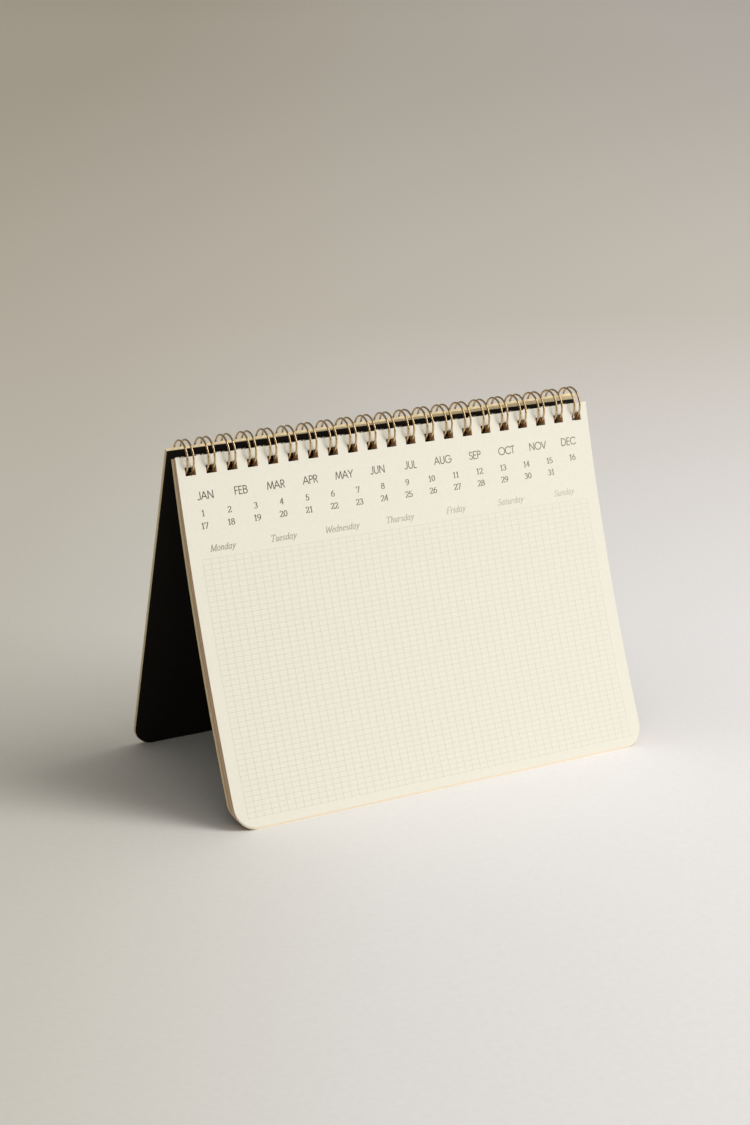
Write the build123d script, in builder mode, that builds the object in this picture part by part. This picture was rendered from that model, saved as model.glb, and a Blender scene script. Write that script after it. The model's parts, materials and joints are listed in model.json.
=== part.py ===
import math
import os

from build123d import *

os.makedirs("parts", exist_ok=True)

# Leaves: one bowed block, leaning back, its front leaf a little off the table the rest stand on
WIDTH = 180.0
PAGE_H = 139.8
PAGE_LEAN = 19.38
PAGE_SAG = 3.2
PAGE_LIFT = 0.9
BLOCK_FOOT_T = 4.4
BLOCK_TOP_T = 2.1
BLOCK_REAR_SAG = 3.6
TOP_FALL = 0.31
CORNER_R = 8.5

# Covers: greyboard with a dark paper facing on the outer side
BOARD_T = 1.65
FACING_T = 0.45
LEAF_CLEAR = 0.2
COVER_LEAN = 19.5
FACING_DROP = 1.9

# Twin-loop wire, and the binding edges placed from its axis
RING_R = 6.5
WIRE_D = 0.8
LEG_GAP = 2.5
BASE_BEND_R = 1.2
TIP_PAST_DEG = 5.5
SEAM_DEG = 31.5
PAGE_TOP_AHEAD = 4.4
PAGE_TOP_ABOVE = 1.2
COVER_TOP_BEHIND = 3.0
COVER_TOP_ABOVE = 2.2

# Punched holes, as many as the width has room for
HOLE_PITCH = 8.467
HOLE_EDGE_MIN = 5.0
HOLE_SIDE_CLEAR = 0.45
HOLE_END_CLEAR = 0.3

HOLE_COUNT = int((WIDTH - 2 * HOLE_EDGE_MIN) / HOLE_PITCH) + 1
HOLE_XS = [(i - (HOLE_COUNT - 1) / 2) * HOLE_PITCH for i in range(HOLE_COUNT)]
HOLE_W = LEG_GAP + WIRE_D + 2 * HOLE_SIDE_CLEAR


def off(point, vec, amount):
    return (point[0] + vec[0] * amount, point[1] + vec[1] * amount)


def arc_circle(foot, top, sag):
    # Centre and radius of a bowed face whose middle is pushed back by the sag
    dy = top[0] - foot[0]
    dz = top[1] - foot[1]
    chord = math.hypot(dy, dz)
    radius = chord * chord / (8 * sag) + sag / 2
    middle = ((foot[0] + top[0]) / 2, (foot[1] + top[1]) / 2)
    return off(middle, (dz / chord, -dy / chord), sag - radius), radius


def arc_at_z(circle, z):
    # Point of a bowed face at a given height
    centre, radius = circle
    return (centre[0] + math.sqrt(radius * radius - (z - centre[1]) ** 2), z)


def to_circle(start, way, centre, radius):
    # Distance from a point, straight along a way, to a circle's far side, and half the chord there
    y = start[0] - centre[0]
    z = start[1] - centre[1]
    middle = -y * way[0] - z * way[1]
    half_chord = math.sqrt(middle * middle - (y * y + z * z - radius * radius))
    return middle + half_chord, half_chord


def arc_on_top_line(circle):
    # Point of a bowed face on the falling line of the binding edges
    centre, radius = circle
    distance, half_chord = to_circle(PAGE_TOP, TOP_LINE, centre, radius)
    return off(PAGE_TOP, TOP_LINE, distance)


def ring_crossing(top, down):
    # Distance down a straight sheet to the middle of the wire, and half the wire's length there
    distance, half_chord = to_circle(top, down, (RING_Y, RING_Z), RING_R)
    return distance, WIRE_D / 2 * RING_R / half_chord


# The way back along the binding edges, and the ways down the front leaf and the front cover
TOP_LINE = (math.cos(math.atan(TOP_FALL)), -math.sin(math.atan(TOP_FALL)))
PAGE_DOWN = (-math.sin(math.radians(PAGE_LEAN)), -math.cos(math.radians(PAGE_LEAN)))
COVER_DOWN = (math.sin(math.radians(COVER_LEAN)), -math.cos(math.radians(COVER_LEAN)))
COVER_BACK = (-COVER_DOWN[1], COVER_DOWN[0])
COVER_T = FACING_T + BOARD_T

# The ring axis, over the middle of the two feet
RING_Z = PAGE_LIFT - PAGE_H * PAGE_DOWN[1] - PAGE_TOP_ABOVE
FRONT_REACH = PAGE_TOP_AHEAD - PAGE_H * PAGE_DOWN[0]
COVER_RISE = RING_Z + COVER_TOP_ABOVE + COVER_T * COVER_BACK[1]
REAR_REACH = COVER_TOP_BEHIND + COVER_T * COVER_BACK[0] - COVER_RISE * COVER_DOWN[0] / COVER_DOWN[1]
RING_Y = (FRONT_REACH - REAR_REACH) / 2

# The front leaf's face
PAGE_TOP = (RING_Y - PAGE_TOP_AHEAD, RING_Z + PAGE_TOP_ABOVE)
PAGE_FOOT = off(PAGE_TOP, PAGE_DOWN, PAGE_H)
PAGE_FRONT = arc_circle(PAGE_FOOT, PAGE_TOP, PAGE_SAG)

# The block's rear face, and the back cover's layers behind it
BLOCK_REAR_TOP = off(PAGE_TOP, (1, -TOP_FALL), BLOCK_TOP_T)
BLOCK_REAR_FOOT = (PAGE_FOOT[0] + BLOCK_FOOT_T, 0.0)
BLOCK_REAR = arc_circle(BLOCK_REAR_FOOT, BLOCK_REAR_TOP, BLOCK_REAR_SAG)
BACK_BOARD_FRONT = (BLOCK_REAR[0], BLOCK_REAR[1] + LEAF_CLEAR)
BACK_BOARD_REAR = (BLOCK_REAR[0], BACK_BOARD_FRONT[1] + BOARD_T)
BACK_FACE = (BLOCK_REAR[0], BACK_BOARD_REAR[1] + FACING_T)
BACK_TOP = arc_on_top_line(BACK_FACE)

# The way down the bowed leaves beside their binding edge
TOP_TILT = math.asin((PAGE_TOP[1] - PAGE_FRONT[0][1]) / PAGE_FRONT[1])
LEAF_DOWN = (math.sin(TOP_TILT), -math.cos(TOP_TILT))

# The front cover, flat behind the ring
COVER_TOP = (RING_Y + COVER_TOP_BEHIND, RING_Z + COVER_TOP_ABOVE)
COVER_REAR_TOP = off(COVER_TOP, COVER_BACK, COVER_T)

# The holes of each leg reach over the wire's whole way through its sheets
LEAF_CROSSINGS = [ring_crossing(PAGE_TOP, LEAF_DOWN), ring_crossing(BACK_TOP, LEAF_DOWN)]
COVER_CROSSINGS = [ring_crossing(COVER_TOP, COVER_DOWN), ring_crossing(COVER_REAR_TOP, COVER_DOWN)]

# The wire's seam lies just behind the front cover, above its holes
EXIT = off(COVER_REAR_TOP, COVER_DOWN, COVER_CROSSINGS[1][0])
TIP_DEG = math.degrees(math.atan2(EXIT[1] - RING_Z, EXIT[0] - RING_Y)) + TIP_PAST_DEG
BASE_DEG = TIP_DEG + SEAM_DEG


def punch(near_top, far_top, down, crossings):
    # The row of holes, cut straight from one binding edge to another and as far again past both
    across = (far_top[0] - near_top[0], far_top[1] - near_top[1])
    upper = min(place - half for place, half in crossings) - HOLE_END_CLEAR
    lower = max(place + half for place, half in crossings) + HOLE_END_CLEAR
    with BuildSketch(Plane.YZ) as slot:
        with BuildLine():
            Polyline(
                off(off(near_top, down, upper), across, -1),
                off(off(near_top, down, lower), across, -1),
                off(off(far_top, down, lower), across, 1),
                off(off(far_top, down, upper), across, 1),
                close=True,
            )
        make_face()
    bar = extrude(slot.sketch, amount=HOLE_W / 2, both=True, mode=Mode.PRIVATE)
    with Locations(*[(x, 0, 0) for x in HOLE_XS]):
        add(bar, mode=Mode.SUBTRACT)


def round_foot_corners():
    # Both lower corners rounded, seen from the front
    with BuildSketch(Plane.XZ) as outline:
        Rectangle(WIDTH, 2 * PAGE_H, align=(Align.CENTER, Align.MIN))
        fillet(outline.vertices().group_by(Axis.Z)[0], CORNER_R)
    extrude(outline.sketch, amount=PAGE_H, both=True, mode=Mode.INTERSECT)


# Page block: all the leaves as one solid, thicker at the foot where they fan
with BuildPart() as page_block:
    with BuildSketch(Plane.YZ):
        with BuildLine():
            ThreePointArc(PAGE_FOOT, arc_at_z(PAGE_FRONT, RING_Z / 2), PAGE_TOP)
            Line(PAGE_TOP, BLOCK_REAR_TOP)
            ThreePointArc(BLOCK_REAR_TOP, arc_at_z(BLOCK_REAR, RING_Z / 2), BLOCK_REAR_FOOT)
            Polyline(BLOCK_REAR_FOOT, (PAGE_FOOT[0], 0), PAGE_FOOT)
        make_face()
    extrude(amount=WIDTH / 2, both=True)
    round_foot_corners()
    punch(PAGE_TOP, BACK_TOP, LEAF_DOWN, LEAF_CROSSINGS)
page_block.part.label = "page_block"
export_step(page_block.part, "parts/page_block.step")


def back_layer(front, rear):
    # A sheet of the back cover between two bowed faces, standing on the table
    with BuildPart() as layer:
        with BuildSketch(Plane.YZ):
            with BuildLine():
                ThreePointArc(arc_at_z(front, 0), arc_at_z(front, RING_Z / 2), arc_on_top_line(front))
                Line(arc_on_top_line(front), arc_on_top_line(rear))
                ThreePointArc(arc_on_top_line(rear), arc_at_z(rear, RING_Z / 2), arc_at_z(rear, 0))
                Line(arc_at_z(rear, 0), arc_at_z(front, 0))
            make_face()
        extrude(amount=WIDTH / 2, both=True)
        round_foot_corners()
        punch(PAGE_TOP, BACK_TOP, LEAF_DOWN, LEAF_CROSSINGS)
    return layer


# Back cover
back_cover_board = back_layer(BACK_BOARD_FRONT, BACK_BOARD_REAR)
back_cover_board.part.label = "back_cover_board"
export_step(back_cover_board.part, "parts/back_cover_board.step")

back_cover_facing = back_layer(BACK_BOARD_REAR, BACK_FACE)
back_cover_facing.part.label = "back_cover_facing"
export_step(back_cover_facing.part, "parts/back_cover_facing.step")


def front_layer(front_depth, rear_depth):
    # A flat sheet of the front cover, standing on the table
    tops = [off(COVER_TOP, COVER_BACK, depth) for depth in (front_depth, rear_depth)]
    feet = [off(top, COVER_DOWN, -top[1] / COVER_DOWN[1]) for top in tops]
    with BuildPart() as layer:
        with BuildSketch(Plane.YZ):
            with BuildLine():
                Polyline(tops[0], tops[1], feet[1], feet[0], close=True)
            make_face()
        extrude(amount=WIDTH / 2, both=True)
        round_foot_corners()
        punch(COVER_TOP, COVER_REAR_TOP, COVER_DOWN, COVER_CROSSINGS)
    return layer


# Front cover, turned round behind, its facing towards the inside of the tent
front_cover_board = front_layer(FACING_T, COVER_T)
front_cover_board.part.label = "front_cover_board"
export_step(front_cover_board.part, "parts/front_cover_board.step")

# The facing is laid askew: it leaves the board bare along the top right
COVER_FACE = Plane(
    origin=(0, COVER_TOP[0], COVER_TOP[1]),
    x_dir=(1, 0, 0),
    z_dir=(0, -COVER_BACK[0], -COVER_BACK[1]),
)
front_cover_facing = front_layer(0, FACING_T)
with BuildPart() as bare_strip:
    with BuildSketch(COVER_FACE):
        with BuildLine():
            Polyline(
                (-WIDTH / 2, 0),
                (-WIDTH / 2, COVER_T),
                (WIDTH / 2, COVER_T),
                (WIDTH / 2, -FACING_DROP),
                close=True,
            )
        make_face()
    extrude(amount=COVER_T, both=True)
with front_cover_facing:
    add(bare_strip.part, mode=Mode.SUBTRACT)
front_cover_facing.part.label = "front_cover_facing"
export_step(front_cover_facing.part, "parts/front_cover_facing.step")


def out_of_ring(deg):
    return (math.cos(math.radians(deg)), math.sin(math.radians(deg)))


def along_ring(deg):
    return (-math.sin(math.radians(deg)), math.cos(math.radians(deg)))


def on_ring(deg):
    return off((RING_Y, RING_Z), out_of_ring(deg), RING_R)


def wire_section(x, deg, sense):
    # The round section of the wire where it crosses a given place on the ring
    y, z = on_ring(deg)
    t = along_ring(deg)
    return Plane(origin=(x, y, z), x_dir=(1, 0, 0), z_dir=(0, sense * t[0], sense * t[1]))


def leg(x):
    # One leg, from the base over the top and the front and round to the tip
    with BuildPart() as piece:
        with BuildSketch(wire_section(x, BASE_DEG, 1)):
            Circle(WIRE_D / 2)
        revolve(axis=Axis((x, RING_Y, RING_Z), (1, 0, 0)), revolution_arc=360 + TIP_DEG - BASE_DEG)
    return piece.part


def bend(x, deg, side, sense, degrees):
    # A bend that lies flat on the ring, turning towards a centre beside the leg
    y, z = on_ring(deg)
    turn = math.copysign(1, side * sense)
    pivot = (0, *off((0, 0), out_of_ring(deg), turn))
    with BuildPart() as piece:
        with BuildSketch(wire_section(x, deg, sense)):
            Circle(WIRE_D / 2)
        revolve(axis=Axis((x + side, y, z), pivot), revolution_arc=degrees)
    return piece.part


def base_run(x0, x1):
    # The straight between two base bends
    y, z = off(on_ring(BASE_DEG), along_ring(BASE_DEG), -BASE_BEND_R)
    with BuildPart() as piece:
        with BuildSketch(Plane(origin=(x0, y, z), x_dir=(0, *along_ring(BASE_DEG)), z_dir=(1, 0, 0))):
            Circle(WIRE_D / 2)
        extrude(amount=x1 - x0)
    return piece.part


# Twin-loop wire: one wire, two legs to a loop, a narrow tip to each and a wide base between
wire_pieces = []
for i, x in enumerate(HOLE_XS):
    left = x - LEG_GAP / 2
    right = x + LEG_GAP / 2
    wire_pieces.append(leg(left))
    wire_pieces.append(bend(left, TIP_DEG, LEG_GAP / 2, 1, 180))
    wire_pieces.append(leg(right))
    if i + 1 < HOLE_COUNT:
        following = HOLE_XS[i + 1] - LEG_GAP / 2
        wire_pieces.append(bend(right, BASE_DEG, BASE_BEND_R, -1, 90))
        wire_pieces.append(base_run(right + BASE_BEND_R, following - BASE_BEND_R))
        wire_pieces.append(bend(following, BASE_DEG, -BASE_BEND_R, -1, 90))

with BuildPart() as twin_loop_wire:
    add(wire_pieces)
twin_loop_wire.part.label = "twin_loop_wire"
export_step(twin_loop_wire.part, "parts/twin_loop_wire.step")
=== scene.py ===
import json
import math
import random

import bmesh
import bpy
from mathutils import Matrix, Vector


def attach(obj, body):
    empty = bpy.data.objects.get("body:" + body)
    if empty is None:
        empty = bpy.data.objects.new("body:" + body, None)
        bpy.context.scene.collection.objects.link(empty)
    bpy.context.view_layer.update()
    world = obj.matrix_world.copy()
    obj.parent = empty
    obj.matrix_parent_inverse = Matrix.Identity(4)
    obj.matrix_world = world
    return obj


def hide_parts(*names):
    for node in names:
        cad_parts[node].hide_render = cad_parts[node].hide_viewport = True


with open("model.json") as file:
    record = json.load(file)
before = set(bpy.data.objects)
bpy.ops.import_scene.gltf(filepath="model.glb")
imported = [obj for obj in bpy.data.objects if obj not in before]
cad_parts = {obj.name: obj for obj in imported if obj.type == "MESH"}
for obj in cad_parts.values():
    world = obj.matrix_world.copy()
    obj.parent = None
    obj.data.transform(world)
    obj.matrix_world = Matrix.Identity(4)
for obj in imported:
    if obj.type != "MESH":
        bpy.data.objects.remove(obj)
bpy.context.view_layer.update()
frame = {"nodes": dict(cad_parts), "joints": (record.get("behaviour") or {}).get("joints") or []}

MM = 0.001

# Page block, the same sizes as its solid in the frame
WIDTH = 180.0 * MM
PAGE_H = 139.8 * MM
PAGE_LEAN = math.radians(19.38)
PAGE_SAG = 3.2 * MM
BLOCK_FOOT_T = 4.4 * MM
BLOCK_TOP_T = 2.1 * MM
BLOCK_REAR_SAG = 3.6 * MM
TOP_FALL = 0.31
CORNER_R = 8.5 * MM
PAGE_TOP_AHEAD = 4.4 * MM
PAGE_TOP_ABOVE = 1.2 * MM

# Punched holes, with their near and far sides measured from the top edge
HOLE_COUNT = 21
HOLE_PITCH = 8.467 * MM
HOLE_W = 4.2 * MM
HOLE_NEAR = 3.86 * MM
HOLE_FAR = 7.05 * MM

# Edges of the stack: a front leaf, a gap behind it, then leaves with a groove after each.
# A leaf starts and ends at shares of its pitch, and so does its groove
FRONT_LEAF_SHARE = 0.06
FRONT_GAP_SHARE = 0.2
FRONT_GAP_DEPTH = 0.8 * MM
LEAF_COUNT = 24
LEAF_START, LEAF_END, GROOVE_AT = 0.1, 0.8, 0.9
LEAF_GROOVE = 0.07 * MM
LEAF_JITTER = 0.16 * MM
FOOT_INSET_SHARE = 0.2
PAGE_ROWS = 22
CORNER_STEPS = 8

# Tones of the edges, from 0 in deep shade to 1 for unshaded paper, kept as an attribute: painted shade,
# darkest in the gap behind the front leaf, in the grooves and on the hole walls; the bands of leaves also
# differ at random
TONE_NAME = "leaf_tone"
LEAF_BANDS = (0.5, 0.75, 0.4, 0.68, 0.3, 0.55)
BAND_SPREAD = 0.12
FULL_LIGHT_TONE = 1.0
GAP_SHADE_TONE = 0.1
GROOVE_SHADE_TONE = 0.0
HOLE_SHADE_TONE = 0.35
END_TONE = 0.95
REAR_TONE = 0.5

# Looks of the surfaces. A grain is noise, in cells to the metre and detail, and colours
# follow it or follow an attribute. A relief is noise too, with a depth and a strength
LOOKS = {
    "page_paper": {
        "grain": (900.0, 6.0),
        "colours": ((0.3, (0.815, 0.785, 0.685)), (0.7, (0.84, 0.815, 0.72))),
        "relief": (4200.0, 3.0, 0.03 * MM, 0.35),
        "sockets": {"Roughness": 0.85},
    },
    # leaf edges: colours by the painted shade tone, dark brown in deep shade
    "leaf_edges": {
        "attribute": TONE_NAME,
        "colours": ((0.0, (0.42, 0.27, 0.15)), (0.5, (0.90, 0.65, 0.42)), (1.0, (0.95, 0.85, 0.68))),
        "relief": (5000.0, 3.0, 0.04 * MM, 0.5),
        "sockets": {"Roughness": 0.9},
    },
    "greyboard": {
        "grain": (1600.0, 8.0),
        "colours": ((0.25, (0.82, 0.66, 0.40)), (0.5, (0.95, 0.79, 0.50)), (0.8, (0.98, 0.88, 0.61))),
        "relief": (2600.0, 6.0, 0.06 * MM, 0.5),
        "sockets": {"Roughness": 0.9},
    },
    "black_paper": {
        "grain": (2200.0, 6.0),
        "colours": ((0.3, (0.0055, 0.0033, 0.0018)), (0.75, (0.0105, 0.0068, 0.0040))),
        "relief": (3000.0, 4.0, 0.03 * MM, 0.4),
        "sockets": {"Roughness": 0.75, "Specular IOR Level": 0.25},
    },
    "gold_wire": {
        "grain": (700.0, 4.0),
        "colours": ((0.3, (0.44, 0.285, 0.095)), (0.7, (0.63, 0.425, 0.165))),
        "sockets": {
            "Metallic": 1.0, "Roughness": 0.2,
            "Coat Weight": 1.0, "Coat Roughness": 0.08, "Coat IOR": 2.2,
        },
    },
}

# Speckles: the noise's detail, and the values of it between which spots fade out
SPECKLE_DETAIL = 4.0
SPECKLE_SPAN = (0.3, 0.7)

# Print on the front leaf, measured from its top left corner
MONTHS = ("JAN", "FEB", "MAR", "APR", "MAY", "JUN", "JUL", "AUG", "SEP", "OCT", "NOV", "DEC")
MONTH_X, MONTH_STEP, MONTH_BASE = 10.0 * MM, 14.5 * MM, 16.4 * MM
MONTH_STYLE = {"cap": 2.85 * MM, "thick": 0.125, "thin": 0.125, "slant": 0.0, "tracking": 0.02}
DAY_ROWS = (range(1, 17), range(17, 32))
DAY_X, DAY_STEP = 8.0 * MM, 10.83 * MM
DAY_BASES = (22.6 * MM, 27.3 * MM)
DAY_STYLE = {"cap": 2.2 * MM, "thick": 0.175, "thin": 0.075, "slant": 0.0, "tracking": 0.03}
WEEKDAYS = ("Monday", "Tuesday", "Wednesday", "Thursday", "Friday", "Saturday", "Sunday")
WEEKDAY_X, WEEKDAY_STEP, WEEKDAY_BASE = 14.2 * MM, 25.05 * MM, 36.1 * MM
WEEKDAY_STYLE = {"cap": 2.45 * MM, "thick": 0.14, "thin": 0.08, "slant": 0.28, "tracking": 0.06}
GRID_LEFT, GRID_RIGHT = 5.0 * MM, 174.5 * MM
GRID_TOP, GRID_FOOT = 38.7 * MM, 136.7 * MM
GRID_CELL_X, GRID_CELL_S = 3.325 * MM, 1.99 * MM
GRID_LINE = 0.12 * MM
GRID_SEGMENTS = 24

# Ink: how it lies on the paper, its speckles (cells to the metre, darkest share), and its
# colours at the left and right sides of the page, paler to the right with painted glare
INK_T = 0.02 * MM
INK_SUNK = 0.008 * MM
INK_LAYER = 0.002 * MM
INK_ROUGHNESS = 0.8
INK_SPECKLE = (3000.0, 0.85)
MONTH_INK = ((0.08, 0.064, 0.045), (0.24, 0.21, 0.16))
DAY_INK = ((0.11, 0.095, 0.062), (0.24, 0.215, 0.16))
WEEKDAY_INK = ((0.36, 0.33, 0.255), (0.66, 0.63, 0.52))
GRID_INK = ((0.67, 0.635, 0.525), (0.735, 0.70, 0.585))

# Pen strokes of the letters
ARC_STEP_DEG = 20.0
ARC_STEPS_MIN = 3
CORNER_TURN = math.radians(50.0)
END_SHARE = 0.3
SLANT_ABOUT = 0.5
SAME_PLACE = 1e-6

# Camera, for a picture of 750 by 1125
CAMERA_AT = Vector((-411.66, -773.27, 347.56)) * MM
CAMERA_AZIMUTH = math.radians(27.78)
CAMERA_ELEVATION = math.radians(17.15)
CAMERA_ROLL = math.radians(-0.73)
CAMERA_CLIP = (0.01, 100.0)
FOCAL_PX = 2316.0
PICTURE_LONG_PX = 1125.0
SENSOR = 36.0

# Key light, a tall soft strip at the front right
KEY_AZIMUTH = math.radians(39.0)
KEY_ELEVATION = math.radians(36.0)
KEY_DISTANCE = 2.6
KEY_WIDTH = 1.0
KEY_HEIGHT = 3.4
KEY_WATTS = 58.0
KEY_TINT = (1.0, 0.99, 0.97)

# Soft light of the room, strongest from above and the front right, and the backdrop
SKY_FROM = Vector((0.4, -0.45, 0.8))
SKY_STOPS = ((0.4, 0.02), (0.62, 0.20), (1.0, 0.72))
SKY_TINT = (1.0, 0.96, 0.89)
BACKDROP = (0.25, 0.235, 0.205)

# Floor: a painted light pool, paler to the right of the picture, another colour far away and paler still
# further off, and painted shade near the lamp, which would bleach it there. Spans are distances from the
# planner in one of three directions: to the right of the picture, away from the viewer and towards the lamp
TO_RIGHT = (0.885, -0.466, 0.0)
AWAY = (0.466, 0.885, 0.0)
TO_KEY = (0.777, -0.629, 0.0)
FLOOR_SIZE = 24.0
FLOOR_ROUGHNESS = 0.9
FLOOR_SPECKLE = (400.0, 0.97)
# painted light pool, paler to the right of the picture
FLOOR_NEAR_SPAN = (-0.19, 0.19)
FLOOR_NEAR_LIGHT_POOL = (
    (0.0, (0.69, 0.67, 0.605)), (0.2, (0.745, 0.73, 0.675)), (0.5, (0.87, 0.865, 0.865)),
    (0.8, (0.94, 0.93, 0.945)), (1.0, (0.96, 0.95, 0.97)))
FLOOR_FADE_SPAN = (0.15, 0.9)
FLOOR_FAR_SPAN = (-0.45, 0.6)
FLOOR_FAR_LIGHT_POOL = ((0.0, (0.80, 0.735, 0.62)), (0.45, (0.91, 0.855, 0.77)), (1.0, (0.99, 0.96, 0.91)))
FLOOR_LIFT_SPAN = (0.6, 4.0)
FLOOR_LIFT = ((0.0, (0.79, 0.79, 0.79)), (1.0, (1.0, 1.0, 1.0)))
# painted shade: the floor darker towards the lamp
FLOOR_GLARE_SPAN = (0.45, 2.2)
FLOOR_GLARE_SHADE = ((0.0, (1.0, 1.0, 1.0)), (1.0, (0.28, 0.28, 0.28)))

rng = random.Random(7)


# Places on the leaves

def off(point, vec, amount):
    return (point[0] + vec[0] * amount, point[1] + vec[1] * amount)


class Bow:
    """A bowed face in the side view: an arc from a top point to a foot point."""

    def __init__(self, foot, top, sag):
        dy = top[0] - foot[0]
        dz = top[1] - foot[1]
        chord = math.hypot(dy, dz)
        self.radius = chord * chord / (8 * sag) + sag / 2
        middle = ((foot[0] + top[0]) / 2, (foot[1] + top[1]) / 2)
        self.centre = off(middle, (dz / chord, -dy / chord), sag - self.radius)
        self.start = math.atan2(top[1] - self.centre[1], top[0] - self.centre[0])
        self.length = 2 * self.radius * math.asin(chord / (2 * self.radius))

    def at(self, down, lift=0.0):
        angle = self.start - down / self.radius
        return off(self.centre, (math.cos(angle), math.sin(angle)), self.radius - lift)


RING_Y, RING_Z = frame["joints"][0]["pos_m"][1:]
PAGE_TOP = (RING_Y - PAGE_TOP_AHEAD, RING_Z + PAGE_TOP_ABOVE)
PAGE_FOOT = off(PAGE_TOP, (-math.sin(PAGE_LEAN), -math.cos(PAGE_LEAN)), PAGE_H)
REAR_TOP = off(PAGE_TOP, (1, -TOP_FALL), BLOCK_TOP_T)
REAR_FOOT = (PAGE_FOOT[0] + BLOCK_FOOT_T, 0.0)
FRONT_BOW = Bow(PAGE_FOOT, PAGE_TOP, PAGE_SAG)
REAR_BOW = Bow(REAR_FOOT, REAR_TOP, BLOCK_REAR_SAG)


def on_page(x, down, lift=0.0):
    """Point of the front leaf, x from its middle, down from its top edge."""
    return Vector((x, *FRONT_BOW.at(down, lift)))


def in_block(x, share_down, share_deep):
    """Point between the block's front and rear faces; only the front leaf ends short of the table."""
    front = Vector((x, *FRONT_BOW.at(share_down * FRONT_BOW.length)))
    rear = Vector((x, *REAR_BOW.at(share_down * REAR_BOW.length)))
    point = front.lerp(rear, share_deep)
    behind = min(1.0, share_deep / FRONT_LEAF_SHARE)
    point.z -= PAGE_FOOT[1] * share_down * behind * (1 - share_deep)
    return point


def add_piece(name, verts, faces, body, materials):
    mesh = bpy.data.meshes.new(name)
    mesh.from_pydata(verts, [], faces)
    for material in materials:
        mesh.materials.append(material)
    piece = bpy.data.objects.new(name, mesh)
    bpy.context.scene.collection.objects.link(piece)
    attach(piece, body)
    return piece


def turn_outward(piece):
    """Faces outward, and a crisp edge wherever the material changes."""
    work = bmesh.new()
    work.from_mesh(piece.data)
    bmesh.ops.recalc_face_normals(work, faces=work.faces)
    for edge in work.edges:
        edge.smooth = len({face.material_index for face in edge.link_faces}) == 1
    work.to_mesh(piece.data)
    work.free()


# Materials

class Shading:
    """The nodes of one material or world."""

    def __init__(self, owner):
        owner.use_nodes = True
        self.nodes = owner.node_tree.nodes
        self.links = owner.node_tree.links

    def noise(self, scale, detail):
        """Noise over the object's own coordinates, its scale in cells to the metre."""
        coords = self.nodes.new("ShaderNodeTexCoord")
        noise = self.nodes.new("ShaderNodeTexNoise")
        noise.inputs["Scale"].default_value = scale
        noise.inputs["Detail"].default_value = detail
        self.links.new(coords.outputs["Object"], noise.inputs["Vector"])
        return noise.outputs["Fac"]

    def attribute(self, name):
        node = self.nodes.new("ShaderNodeAttribute")
        node.attribute_name = name
        return node.outputs["Fac"]

    def share_along(self, direction, span, places="Object"):
        """Share of the way between two distances along a direction from the origin."""
        coords = self.nodes.new("ShaderNodeTexCoord")
        dot = self.nodes.new("ShaderNodeVectorMath")
        dot.operation = "DOT_PRODUCT"
        dot.inputs[1].default_value = direction
        share = self.nodes.new("ShaderNodeMapRange")
        share.inputs["From Min"].default_value = span[0]
        share.inputs["From Max"].default_value = span[1]
        self.links.new(coords.outputs[places], dot.inputs[0])
        self.links.new(dot.outputs["Value"], share.inputs["Value"])
        return share.outputs["Result"]

    def ramp(self, value, stops):
        node = self.nodes.new("ShaderNodeValToRGB")
        elements = node.color_ramp.elements
        while len(elements) < len(stops):
            elements.new(0.5)
        for element, (place, colour) in zip(elements, stops):
            element.position = place
            element.color = (*colour, 1.0)
        self.links.new(value, node.inputs["Fac"])
        return node.outputs["Color"]

    def faded(self, first, second, share):
        """One colour that turns into another as a share grows."""
        fade = self.nodes.new("ShaderNodeMix")
        fade.data_type = "RGBA"
        self.links.new(share, fade.inputs["Factor"])
        self.links.new(first, fade.inputs["A"])
        self.links.new(second, fade.inputs["B"])
        return fade.outputs["Result"]

    def multiplied(self, first, second):
        product = self.nodes.new("ShaderNodeMix")
        product.data_type = "RGBA"
        product.blend_type = "MULTIPLY"
        product.inputs["Factor"].default_value = 1.0
        self.links.new(first, product.inputs["A"])
        self.links.new(second, product.inputs["B"])
        return product.outputs["Result"]

    def speckled(self, colour, scale, darkest):
        """A colour that noise makes darker in spots."""
        low, high = SPECKLE_SPAN
        spots = self.ramp(self.noise(scale, SPECKLE_DETAIL), [(low, (darkest,) * 3), (high, (1, 1, 1))])
        return self.multiplied(colour, spots)

    def relief(self, shader, scale, detail, depth, strength):
        node = self.nodes.new("ShaderNodeBump")
        node.inputs["Distance"].default_value = depth
        node.inputs["Strength"].default_value = strength
        self.links.new(self.noise(scale, detail), node.inputs["Height"])
        self.links.new(node.outputs["Normal"], shader.inputs["Normal"])


def new_material(name):
    material = bpy.data.materials.new(name)
    shading = Shading(material)
    return material, shading, shading.nodes["Principled BSDF"]


def surface(name):
    """The material of one of the looks."""
    look = LOOKS[name]
    material, shading, shader = new_material(name)
    if "attribute" in look:
        tone = shading.attribute(look["attribute"])
    else:
        tone = shading.noise(*look["grain"])
    shading.links.new(shading.ramp(tone, look["colours"]), shader.inputs["Base Color"])
    for socket, value in look["sockets"].items():
        shader.inputs[socket].default_value = value
    if "relief" in look:
        shading.relief(shader, *look["relief"])
    return material


def ink(name, left, right):
    """Print, paler from the page's left side to its right with painted glare."""
    material, shading, shader = new_material(name)
    across = shading.share_along((1, 0, 0), (-WIDTH / 2, WIDTH / 2))
    # painted glare, growing towards the page's right side
    print_with_glare = shading.ramp(across, [(0.0, left), (1.0, right)])
    shading.links.new(shading.speckled(print_with_glare, *INK_SPECKLE), shader.inputs["Base Color"])
    shader.inputs["Roughness"].default_value = INK_ROUGHNESS
    return material


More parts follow.
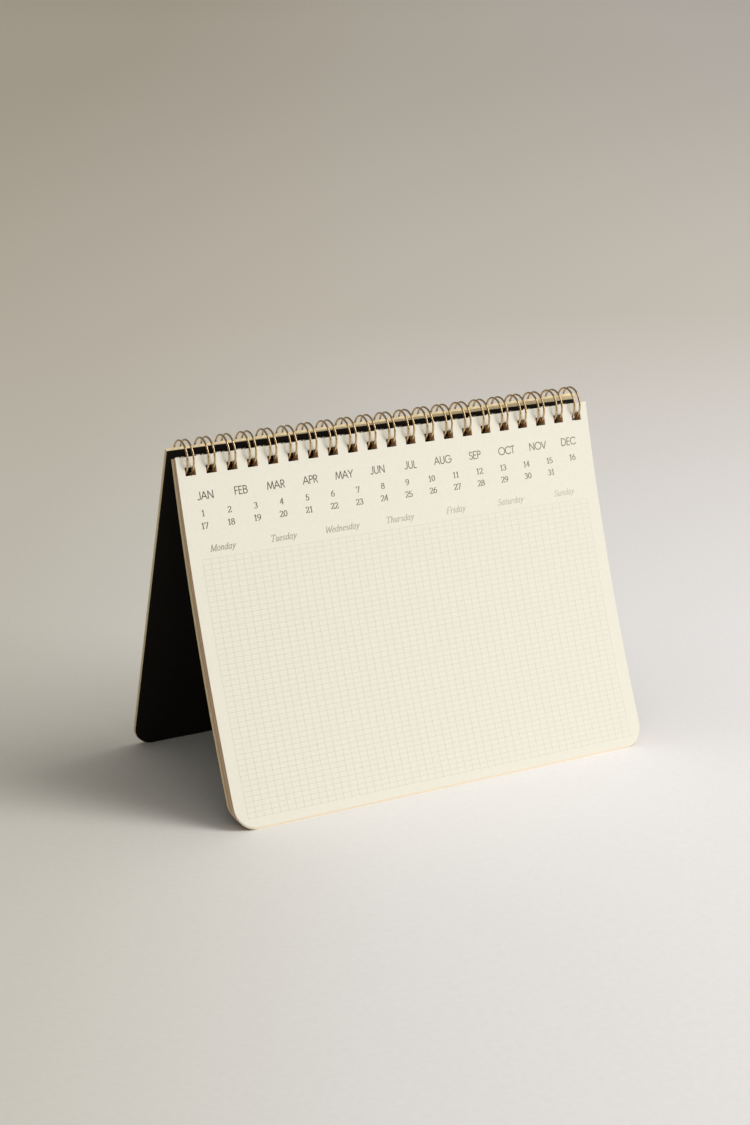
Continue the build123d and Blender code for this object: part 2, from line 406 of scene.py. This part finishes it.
def floor_paper():
    material, shading, shader = new_material("floor_paper")
    # painted light pool: paler to the right, another colour far away and paler still further off
    near = shading.ramp(shading.share_along(TO_RIGHT, FLOOR_NEAR_SPAN), FLOOR_NEAR_LIGHT_POOL)
    far_across = shading.ramp(shading.share_along(TO_RIGHT, FLOOR_FAR_SPAN), FLOOR_FAR_LIGHT_POOL)
    far_lift = shading.ramp(shading.share_along(AWAY, FLOOR_LIFT_SPAN), FLOOR_LIFT)
    far = shading.multiplied(far_across, far_lift)
    colour = shading.faded(near, far, shading.share_along(AWAY, FLOOR_FADE_SPAN))
    # painted shade near the lamp, where its light would bleach the floor
    glare_shade = shading.ramp(shading.share_along(TO_KEY, FLOOR_GLARE_SPAN), FLOOR_GLARE_SHADE)
    glare_shaded = shading.multiplied(colour, glare_shade)
    shading.links.new(shading.speckled(glare_shaded, *FLOOR_SPECKLE), shader.inputs["Base Color"])
    shader.inputs["Roughness"].default_value = FLOOR_ROUGHNESS
    return material


# Leaves

# Materials by place in the list, and the row of the page's cuts that the holes take
LEAF_MATERIALS = [surface("page_paper"), surface("leaf_edges")]
ON_PAPER, ON_EDGES = 0, 1
HOLE_ROW = 1


def page_columns():
    """Cuts across the page at both sides of each hole."""
    columns = [-WIDTH / 2]
    for i in range(HOLE_COUNT):
        middle = (i - (HOLE_COUNT - 1) / 2) * HOLE_PITCH
        columns += [middle - HOLE_W / 2, middle + HOLE_W / 2]
    return columns + [WIDTH / 2]


def page_rows():
    """Cuts down the page, each with the share of the width that the rounded corners leave."""
    straight = FRONT_BOW.length - CORNER_R
    rows = [(0.0, 1.0), (HOLE_NEAR, 1.0), (HOLE_FAR, 1.0)]
    for k in range(1, PAGE_ROWS + 1):
        rows.append((HOLE_FAR + (straight - HOLE_FAR) * k / PAGE_ROWS, 1.0))
    for k in range(1, CORNER_STEPS + 1):
        turn = math.pi / 2 * k / CORNER_STEPS
        half = WIDTH / 2 - CORNER_R * (1 - math.cos(turn))
        rows.append((straight + CORNER_R * math.sin(turn), half / (WIDTH / 2)))
    return rows


def leaf_rings():
    """Rings of the stack's edge from front to rear: depth share, inset, and tone of the leaf, in part
    painted shade.
    """
    # the gap behind the front leaf and each groove take the darkest painted shade
    rings = [
        (FRONT_LEAF_SHARE, 0.0, FULL_LIGHT_TONE),
        (FRONT_LEAF_SHARE, FRONT_GAP_DEPTH, GAP_SHADE_TONE),
        (FRONT_GAP_SHARE, FRONT_GAP_DEPTH, GAP_SHADE_TONE),
    ]
    pitch = (1 - FRONT_GAP_SHARE) / LEAF_COUNT
    for k in range(LEAF_COUNT):
        start = FRONT_GAP_SHARE + k * pitch
        inset = rng.uniform(0, LEAF_JITTER)
        tone = LEAF_BANDS[k * len(LEAF_BANDS) // LEAF_COUNT] + rng.uniform(-BAND_SPREAD, BAND_SPREAD)
        rings.append((start + LEAF_START * pitch, inset, tone))
        rings.append((start + LEAF_END * pitch, inset, tone))
        rings.append((start + GROOVE_AT * pitch, inset + LEAF_GROOVE, GROOVE_SHADE_TONE))
    return rings


def build_page_stack():
    columns = page_columns()
    rows = page_rows()
    nx, ns = len(columns), len(rows)
    verts = []
    faces = []
    tones = []
    slots = []

    def add_face(corners, tone, slot):
        faces.append(corners)
        tones.append(tone)
        slots.append(slot)

    def grid(deep):
        first = len(verts)
        for down, share in rows:
            for x in columns:
                verts.append(in_block(x * share, down / FRONT_BOW.length, deep))
        return lambda i, j: first + j * nx + i

    # Front and rear faces, with walls round the holes, which take every other column
    front = grid(0.0)
    rear = grid(1.0)
    for j in range(ns - 1):
        for i in range(nx - 1):
            corners = [(i, j), (i + 1, j), (i + 1, j + 1), (i, j + 1)]
            # walls of the holes take painted shade
            if j == HOLE_ROW and i % 2 == 1:
                for a, b in zip(corners, corners[1:] + corners[:1]):
                    add_face((front(*a), front(*b), rear(*b), rear(*a)), HOLE_SHADE_TONE, ON_EDGES)
                continue
            a, b, c, d = [front(*corner) for corner in corners]
            add_face((a, d, c, b), FULL_LIGHT_TONE, ON_PAPER)
            add_face([rear(*corner) for corner in corners], FULL_LIGHT_TONE, ON_PAPER)

    # Edges all round, from the front leaf to the rear face
    rim = [(i, 0) for i in range(nx - 1)]
    rim += [(nx - 1, j) for j in range(ns - 1)]
    rim += [(i, ns - 1) for i in range(nx - 1, 0, -1)]
    rim += [(0, j) for j in range(ns - 1, 0, -1)]

    def add_edge(near, far, side_tone, end_tone):
        for k in range(len(rim)):
            n = (k + 1) % len(rim)
            tone = end_tone if rim[k][1] == rim[n][1] else side_tone
            add_face((near[k], near[n], far[n], far[k]), tone, ON_EDGES)

    last = [front(i, j) for i, j in rim]
    for deep, inset, tone in leaf_rings():
        ring = []
        for i, j in rim:
            down, share = rows[j]
            x = columns[i] * share * (1 - inset / (WIDTH / 2))
            share_down = down / FRONT_BOW.length * (1 - FOOT_INSET_SHARE * inset / PAGE_H)
            ring.append(len(verts))
            verts.append(in_block(x, share_down, deep))
        add_edge(last, ring, tone, END_TONE)
        last = ring
    add_edge(last, [rear(i, j) for i, j in rim], REAR_TONE, REAR_TONE)

    piece = add_piece("leaves", verts, faces, "page_block", LEAF_MATERIALS)
    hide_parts("page_block")
    tone_data = piece.data.attributes.new(TONE_NAME, "FLOAT", "FACE")
    tone_data.data.foreach_set("value", tones)
    piece.data.polygons.foreach_set("material_index", slots)
    piece.data.polygons.foreach_set("use_smooth", [slot == ON_PAPER for slot in slots])
    turn_outward(piece)


build_page_stack()


# Print

# Letters as pen strokes: an advance, then strokes of points (x, y) and of arcs
# (centre x, centre y, radius x, radius y, first degrees, last degrees), with capitals 1 high
PLAIN_CAPITALS = {
    "A": (0.88, [[(0.02, 0), (0.42, 1), (0.82, 0)], [(0.16, 0.33), (0.68, 0.33)]]),
    "B": (0.70, [[(0.1, 0), (0.1, 1), (0.34, 0.77, 0.23, 0.23, 90, -90), (0.1, 0.54)],
                 [(0.1, 0.54), (0.36, 0.27, 0.27, 0.27, 90, -90), (0.1, 0)]]),
    "C": (0.90, [[(0.52, 0.5, 0.48, 0.5, 42, 318)]]),
    "D": (0.86, [[(0.1, 0), (0.1, 1), (0.3, 0.5, 0.48, 0.5, 90, -90), (0.1, 0)]]),
    "E": (0.62, [[(0.52, 1), (0.1, 1), (0.1, 0), (0.52, 0)], [(0.1, 0.52), (0.48, 0.52)]]),
    "F": (0.56, [[(0.5, 1), (0.1, 1), (0.1, 0)], [(0.1, 0.52), (0.46, 0.52)]]),
    "G": (1.06, [[(0.52, 0.5, 0.48, 0.5, 42, 360), (0.6, 0.5)]]),
    "J": (0.52, [[(0.4, 1), (0.21, 0.2, 0.19, 0.2, 0, -150)]]),
    "L": (0.50, [[(0.1, 1), (0.1, 0), (0.46, 0)]]),
    "M": (1.04, [[(0.06, 0), (0.2, 1), (0.52, 0.08), (0.84, 1), (0.98, 0)]]),
    "N": (0.90, [[(0.1, 0), (0.1, 1), (0.78, 0), (0.78, 1)]]),
    "O": (1.06, [[(0.53, 0.5, 0.49, 0.5, 90, 450)]]),
    "P": (0.62, [[(0.1, 0), (0.1, 1), (0.32, 0.75, 0.25, 0.25, 90, -90), (0.1, 0.5)]]),
    "R": (0.66, [[(0.1, 0), (0.1, 1), (0.32, 0.75, 0.25, 0.25, 90, -90), (0.1, 0.5)],
                 [(0.3, 0.5), (0.6, 0)]]),
    "S": (0.60, [[(0.29, 0.75, 0.21, 0.25, 30, 270), (0.29, 0.25, 0.24, 0.25, 90, -155)]]),
    "T": (0.60, [[(0.02, 1), (0.58, 1)], [(0.3, 1), (0.3, 0)]]),
    "U": (0.78, [[(0.1, 1), (0.38, 0.28, 0.28, 0.28, 180, 360), (0.66, 1)]]),
    "V": (0.76, [[(0.02, 1), (0.38, 0), (0.74, 1)]]),
    "Y": (0.72, [[(0.02, 1), (0.36, 0.46), (0.7, 1)], [(0.36, 0.46), (0.36, 0)]]),
}
NUMERALS = {
    "0": (0.72, [[(0.36, 0.5, 0.27, 0.5, 90, 450)]]),
    "1": (0.60, [[(0.16, 0.82), (0.34, 1), (0.34, 0)], [(0.14, 0), (0.54, 0)]]),
    "2": (0.72, [[(0.35, 0.73, 0.26, 0.27, 165, -25), (0.08, 0), (0.64, 0), (0.66, 0.14)]]),
    "3": (0.70, [[(0.32, 0.76, 0.23, 0.24, 155, -85), (0.32, 0.27, 0.28, 0.27, 85, -155)]]),
    "4": (0.72, [[(0.48, 0), (0.48, 1), (0.04, 0.28), (0.68, 0.28)]]),
    "5": (0.70, [[(0.6, 1), (0.2, 1), (0.14, 0.52), (0.32, 0.31, 0.28, 0.31, 105, -155)]]),
    "6": (0.72, [[(0.62, 0.33, 0.53, 0.67, 95, 180)], [(0.36, 0.31, 0.27, 0.31, 90, 450)]]),
    "7": (0.68, [[(0.06, 0.82), (0.08, 1), (0.64, 1), (0.28, 0)]]),
    "8": (0.72, [[(0.36, 0.76, 0.22, 0.24, 90, 450)], [(0.36, 0.27, 0.28, 0.27, 90, 450)]]),
    "9": (0.72, [[(0.1, 0.67, 0.53, 0.67, 0, -85)], [(0.36, 0.69, 0.27, 0.31, 90, 450)]]),
}
SCRIPT_LETTERS = {
    "F": (0.64, [[(0.6, 0.86), (0.6, 1), (0.12, 1), (0.12, 0)], [(0.12, 0.52), (0.44, 0.52)],
                 [(0.0, 0), (0.28, 0)]]),
    "M": (1.00, [[(0.12, 0), (0.12, 1), (0.5, 0.04), (0.86, 1), (0.86, 0)], [(0.0, 0), (0.24, 0)],
                 [(0.72, 0), (1.0, 0)]]),
    "S": (0.60, [[(0.3, 0.75, 0.21, 0.25, 30, 270), (0.3, 0.25, 0.25, 0.25, 90, -160)]]),
    "T": (0.74, [[(0.04, 0.84), (0.06, 1), (0.68, 1), (0.7, 0.84)], [(0.37, 1), (0.37, 0)],
                 [(0.22, 0), (0.52, 0)]]),
    "W": (1.04, [[(0.04, 1), (0.26, 0), (0.52, 0.86), (0.76, 0), (1.02, 1)]]),
    "a": (0.58, [[(0.24, 0.32, 0.2, 0.32, 20, 380)], [(0.44, 0.64), (0.44, 0.1), (0.54, 0.02)]]),
    "d": (0.58, [[(0.24, 0.32, 0.2, 0.32, 20, 380)], [(0.44, 1), (0.44, 0.1), (0.54, 0.02)]]),
    "e": (0.52, [[(0.08, 0.32), (0.44, 0.4), (0.26, 0.32, 0.2, 0.32, 30, 325)]]),
    "h": (0.60, [[(0.12, 1), (0.12, 0)],
                 [(0.12, 0.3), (0.29, 0.42, 0.16, 0.22, 160, 0), (0.45, 0.1), (0.55, 0.02)]]),
    "i": (0.32, [[(0.04, 0.58), (0.13, 0.64), (0.13, 0.1), (0.24, 0.02)], [(0.1, 0.86), (0.2, 0.86)]]),
    "n": (0.60, [[(0.03, 0.58), (0.12, 0.64), (0.12, 0)],
                 [(0.12, 0.3), (0.29, 0.42, 0.16, 0.22, 160, 0), (0.45, 0.1), (0.55, 0.02)]]),
    "o": (0.56, [[(0.28, 0.32, 0.22, 0.32, 90, 450)]]),
    "r": (0.46, [[(0.03, 0.58), (0.12, 0.64), (0.12, 0)], [(0.12, 0.3), (0.3, 0.42, 0.16, 0.22, 160, 50)]]),
    "s": (0.46, [[(0.23, 0.48, 0.14, 0.16, 30, 270), (0.23, 0.16, 0.16, 0.16, 90, -160)]]),
    "t": (0.40, [[(0.16, 0.86), (0.16, 0.12), (0.24, 0.02), (0.34, 0.06)], [(0.02, 0.62), (0.32, 0.62)]]),
    "u": (0.60, [[(0.03, 0.58), (0.12, 0.64), (0.28, 0.2, 0.16, 0.2, 180, 300), (0.45, 0.3)],
                 [(0.45, 0.64), (0.45, 0.1), (0.55, 0.02)]]),
    "y": (0.56, [[(0.03, 0.58), (0.12, 0.64), (0.28, 0.02)],
                 [(0.5, 0.64), (0.28, 0.02), (0.16, -0.22), (0.02, -0.28)]]),
}


def stroke_points(stroke):
    points = []
    for step in stroke:
        if len(step) == 2:
            points.append(Vector(step))
            continue
        x, y, radius_x, radius_y, first, last = step
        count = max(ARC_STEPS_MIN, round(abs(last - first) / ARC_STEP_DEG))
        for k in range(count + 1):
            angle = math.radians(first + (last - first) * k / count)
            points.append(Vector((x + radius_x * math.cos(angle), y + radius_y * math.sin(angle))))
    return [p for k, p in enumerate(points) if k == 0 or (p - points[k - 1]).length > SAME_PLACE]


def smooth_runs(points):
    """A stroke cut into runs wherever it turns a sharp corner."""
    runs = [[points[0]]]
    for k in range(1, len(points)):
        runs[-1].append(points[k])
        if k + 1 < len(points):
            turn = (points[k] - points[k - 1]).angle(points[k + 1] - points[k])
            if turn > CORNER_TURN:
                runs.append([points[k]])
    return runs


def pen_stations(points, thick, thin):
    """The two edges of a run: full width going up or down, thin going across."""
    last = len(points) - 1
    closed = (points[0] - points[last]).length < SAME_PLACE
    ways = [(b - a).normalized() for a, b in zip(points, points[1:])]
    stations = []
    for k, point in enumerate(points):
        before = ways[k - 1] if k > 0 or closed else ways[0]
        after = ways[k] if k < last else ways[0] if closed else ways[last - 1]
        way = (before + after).normalized()
        width = thin + (thick - thin) * abs(way.y)
        at_end = (k == last) - (k == 0) if not closed else 0
        centre = point + way * at_end * END_SHARE * width
        edge = Vector((-way.y, way.x)) * width / (2 * way.dot(after))
        stations.append((centre + edge, centre - edge))
    return stations


class Strips:
    """Thin closed strips that lie on the front leaf, gathered for one piece."""

    def __init__(self):
        self.verts = []
        self.faces = []

    def add(self, path, layer=0):
        """A strip through stations, each a pair of page places (x, down)."""
        first = len(self.verts)
        top = INK_T - INK_SUNK + layer * INK_LAYER
        for pair in path:
            for x, down in pair:
                self.verts.append(on_page(x - WIDTH / 2, down, top))
                self.verts.append(on_page(x - WIDTH / 2, down, -INK_SUNK))
        for k in range(len(path) - 1):
            a, b = first + 4 * k, first + 4 * (k + 1)
            for p, q in ((0, 2), (2, 3), (3, 1), (1, 0)):
                self.faces.append((a + p, a + q, b + q, b + p))
        end = first + 4 * (len(path) - 1)
        self.faces.append((first, first + 1, first + 3, first + 2))
        self.faces.append((end, end + 2, end + 3, end + 1))

    def finish(self, name, material):
        piece = add_piece(name, self.verts, self.faces, "page_block", [material])
        turn_outward(piece)


def print_words(name, entries, letters, style, material):
    """Words in pen strokes: each entry is the text, its middle and its baseline."""
    strips = Strips()
    cap = style["cap"]
    for words, middle, base in entries:
        width = sum(letters[c][0] + style["tracking"] for c in words) - style["tracking"]
        start = -width / 2
        for c in words:
            advance, strokes = letters[c]
            runs = [run for stroke in strokes for run in smooth_runs(stroke_points(stroke))]
            for layer, run in enumerate(runs):
                path = []
                for pair in pen_stations(run, style["thick"], style["thin"]):
                    places = []
                    for p in pair:
                        lean = style["slant"] * (p.y - SLANT_ABOUT)
                        places.append((middle + cap * (start + p.x + lean), base - cap * p.y))
                    path.append(places)
                strips.add(path, layer)
            start += advance + style["tracking"]
    strips.finish(name, material)


def build_grid(material):
    strips = Strips()
    half = GRID_LINE / 2
    downs = [GRID_TOP + (GRID_FOOT - GRID_TOP) * k / GRID_SEGMENTS for k in range(GRID_SEGMENTS + 1)]
    for k in range(round((GRID_RIGHT - GRID_LEFT) / GRID_CELL_X) + 1):
        x = GRID_LEFT + k * GRID_CELL_X
        strips.add([((x - half, s), (x + half, s)) for s in downs])
    for k in range(round((GRID_FOOT - GRID_TOP) / GRID_CELL_S) + 1):
        s = GRID_TOP + k * GRID_CELL_S
        strips.add([((x, s - half), (x, s + half)) for x in (GRID_LEFT, GRID_RIGHT)], layer=1)
    strips.finish("week_grid", material)


print_words(
    "month_names",
    [(name, MONTH_X + k * MONTH_STEP, MONTH_BASE) for k, name in enumerate(MONTHS)],
    PLAIN_CAPITALS, MONTH_STYLE, ink("month_ink", *MONTH_INK))
print_words(
    "day_numbers",
    [(str(day), DAY_X + k * DAY_STEP, base)
     for days, base in zip(DAY_ROWS, DAY_BASES) for k, day in enumerate(days)],
    NUMERALS, DAY_STYLE, ink("day_ink", *DAY_INK))
print_words(
    "weekday_names",
    [(name, WEEKDAY_X + k * WEEKDAY_STEP, WEEKDAY_BASE) for k, name in enumerate(WEEKDAYS)],
    SCRIPT_LETTERS, WEEKDAY_STYLE, ink("weekday_ink", *WEEKDAY_INK))
build_grid(ink("grid_ink", *GRID_INK))


# Covers and wire, which keep their solids

def dress(material, *nodes):
    for node in nodes:
        mesh = frame["nodes"][node].data
        mesh.materials.clear()
        mesh.materials.append(material)


dress(surface("greyboard"), "back_cover_board", "front_cover_board")
dress(surface("black_paper"), "back_cover_facing", "front_cover_facing")
dress(surface("gold_wire"), "twin_loop_wire")


# Stage, light and camera

def build_floor():
    half = FLOOR_SIZE / 2
    mesh = bpy.data.meshes.new("floor")
    corners = [(-half, -half, 0), (half, -half, 0), (half, half, 0), (-half, half, 0)]
    mesh.from_pydata(corners, [], [(0, 1, 2, 3)])
    mesh.materials.append(floor_paper())
    floor = bpy.data.objects.new("floor", mesh)
    bpy.context.scene.collection.objects.link(floor)


def build_key_light():
    lamp = bpy.data.lights.new("key", "AREA")
    lamp.shape = "RECTANGLE"
    lamp.size = KEY_WIDTH
    lamp.size_y = KEY_HEIGHT
    lamp.energy = KEY_WATTS
    lamp.color = KEY_TINT
    key = bpy.data.objects.new("key", lamp)
    towards = Vector((
        math.cos(KEY_ELEVATION) * math.cos(KEY_AZIMUTH),
        -math.cos(KEY_ELEVATION) * math.sin(KEY_AZIMUTH),
        math.sin(KEY_ELEVATION),
    ))
    key.location = towards * KEY_DISTANCE
    key.rotation_mode = "QUATERNION"
    key.rotation_quaternion = towards.to_track_quat("Z", "Y")
    bpy.context.scene.collection.objects.link(key)


def build_world():
    """Light by direction; the camera, gloss and glass see a plain backdrop in its place."""
    world = bpy.data.worlds.new("studio")
    bpy.context.scene.world = world
    shading = Shading(world)
    towards_sky = shading.share_along(SKY_FROM.normalized(), (-1.0, 1.0), "Generated")
    sky = shading.ramp(towards_sky, [
        (place, [level * c for c in SKY_TINT]) for place, level in SKY_STOPS])
    paths = shading.nodes.new("ShaderNodeLightPath")
    seen_by = paths.outputs["Is Camera Ray"]
    for ray in ("Is Glossy Ray", "Is Transmission Ray"):
        either = shading.nodes.new("ShaderNodeMath")
        either.operation = "MAXIMUM"
        shading.links.new(seen_by, either.inputs[0])
        shading.links.new(paths.outputs[ray], either.inputs[1])
        seen_by = either.outputs["Value"]
    seen = shading.nodes.new("ShaderNodeMix")
    seen.data_type = "RGBA"
    seen.inputs["B"].default_value = (*BACKDROP, 1.0)
    shading.links.new(seen_by, seen.inputs["Factor"])
    shading.links.new(sky, seen.inputs["A"])
    shading.links.new(seen.outputs["Result"], shading.nodes["Background"].inputs["Color"])


def build_camera():
    ahead = Vector((
        math.cos(CAMERA_ELEVATION) * math.sin(CAMERA_AZIMUTH),
        math.cos(CAMERA_ELEVATION) * math.cos(CAMERA_AZIMUTH),
        -math.sin(CAMERA_ELEVATION),
    ))
    level = Vector((math.cos(CAMERA_AZIMUTH), -math.sin(CAMERA_AZIMUTH), 0.0))
    upright = level.cross(ahead)
    right = level * math.cos(CAMERA_ROLL) + upright * math.sin(CAMERA_ROLL)
    up = upright * math.cos(CAMERA_ROLL) - level * math.sin(CAMERA_ROLL)
    lens = bpy.data.cameras.new("camera")
    lens.sensor_width = SENSOR
    lens.lens = FOCAL_PX * SENSOR / PICTURE_LONG_PX
    lens.clip_start, lens.clip_end = CAMERA_CLIP
    camera = bpy.data.objects.new("camera", lens)
    turn = Matrix((right, up, -ahead)).transposed()
    camera.matrix_world = Matrix.Translation(CAMERA_AT) @ turn.to_4x4()
    bpy.context.scene.collection.objects.link(camera)
    bpy.context.scene.camera = camera


build_floor()
build_key_light()
build_world()
build_camera()
bpy.context.scene.view_settings.view_transform = "Standard"
